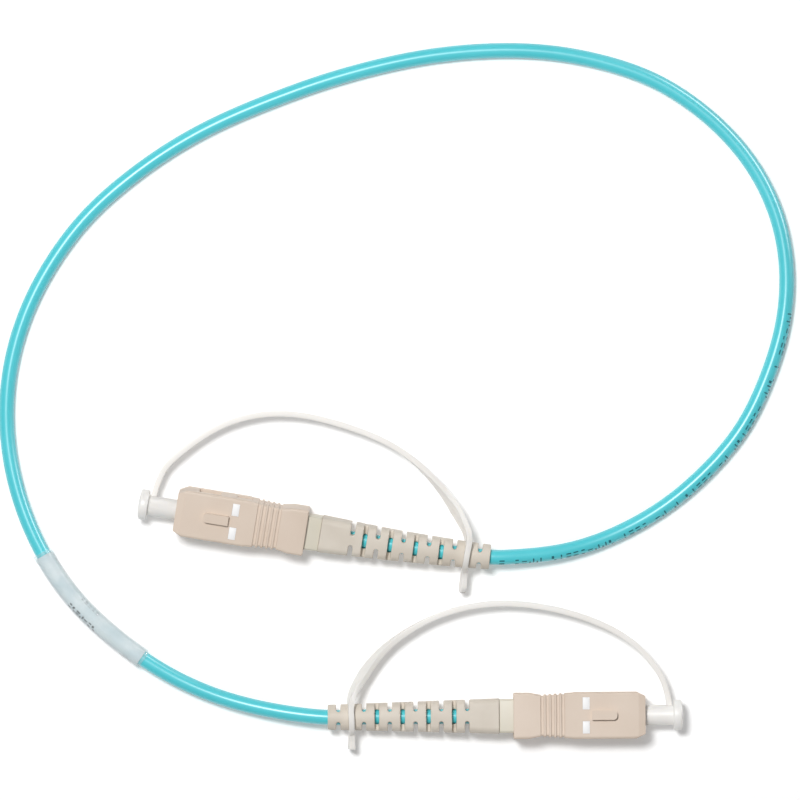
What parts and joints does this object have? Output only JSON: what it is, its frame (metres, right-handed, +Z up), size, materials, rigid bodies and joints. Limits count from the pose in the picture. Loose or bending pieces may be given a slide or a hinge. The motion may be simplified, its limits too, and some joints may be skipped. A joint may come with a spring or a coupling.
{
  "type": "fiber optic patch cord",
  "caption": "Short simplex fibre optic patch cord: one loop of jacketed cable with a push-pull connector, strain-relief boot and tethered dust cap at each end.",
  "frame": {"origin": "on the table, at the middle of the box around the two connectors and their tethers, the free cable and its label left out", "axes": "+X from connector A towards connector B, +Y towards the cable's loop, +Z up from the table"},
  "size_m": [0.1525, 0.1356, 0.0089],
  "materials": {
    "grip_plastic": "moulded beige PBT, fine matt",
    "frame_plastic": "moulded white PBT",
    "backbone_plastic": "moulded cream PBT",
    "boot_rubber": "soft cream thermoplastic elastomer, satin",
    "cap_plastic": "soft white polyethylene",
    "zirconia": "ground and polished",
    "nickel_brass": "nickel plated",
    "spring_steel": "drawn stainless wire",
    "crimp_metal": "soft drawn tube, crimped",
    "aramid": "yellow aramid yarn",
    "buffer_plastic": "tight-buffer coating",
    "jacket_plastic": "extruded aqua jacket, satin gloss",
    "label_paper": "printed label",
    "sleeve_plastic": "clear shrink sleeve"
  },
  "bodies": {
    "cord": {"cable_jacket": "jacket_plastic", "label_insert": "label_paper", "label_sleeve": "sleeve_plastic", "plug_frame_a": "frame_plastic", "backbone_a": "backbone_plastic", "crimp_sleeve_a": "crimp_metal", "aramid_yarn_a": "aramid", "buffered_fibre_a": "buffer_plastic", "spring_a": "spring_steel", "boot_a": "boot_rubber", "cap_tether_a": "cap_plastic", "plug_frame_b": "frame_plastic", "backbone_b": "backbone_plastic", "crimp_sleeve_b": "crimp_metal", "aramid_yarn_b": "aramid", "buffered_fibre_b": "buffer_plastic", "spring_b": "spring_steel", "boot_b": "boot_rubber", "cap_tether_b": "cap_plastic"},
    "grip_a": {"outer_housing_a": "grip_plastic"},
    "ferrule_unit_a": {"ferrule_a": "zirconia", "ferrule_collar_a": "nickel_brass"},
    "cap_a": {"dust_cap_a": "cap_plastic"},
    "grip_b": {"outer_housing_b": "grip_plastic"},
    "ferrule_unit_b": {"ferrule_b": "zirconia", "ferrule_collar_b": "nickel_brass"},
    "cap_b": {"dust_cap_b": "cap_plastic"}
  },
  "joints": [
    {"name": "grip_slide_a", "type": "slide", "parent": "cord", "child": "grip_a", "axis": [0.9869, -0.1616, 0], "range_m": [0, 0.0015]},
    {"name": "ferrule_float_a", "type": "slide", "parent": "cord", "child": "ferrule_unit_a", "axis": [0.9869, -0.1616, 0], "range_m": [0, 0.0008], "stiffness_N_per_m": 1800, "deforming": ["spring_a"]},
    {"name": "cap_slide_a", "type": "slide", "parent": "cord", "child": "cap_a", "axis": [-0.9869, 0.1616, 0], "range_m": [0, 0.01], "deforming": ["cap_tether_a"]},
    {"name": "grip_slide_b", "type": "slide", "parent": "cord", "child": "grip_b", "axis": [-1, -0.007, 0], "range_m": [0, 0.0015]},
    {"name": "ferrule_float_b", "type": "slide", "parent": "cord", "child": "ferrule_unit_b", "axis": [-1, -0.007, 0], "range_m": [0, 0.0008], "stiffness_N_per_m": 1800, "deforming": ["spring_b"]},
    {"name": "cap_slide_b", "type": "slide", "parent": "cord", "child": "cap_b", "axis": [1, 0.007, 0], "range_m": [0, 0.01], "deforming": ["cap_tether_b"]}
  ]
}
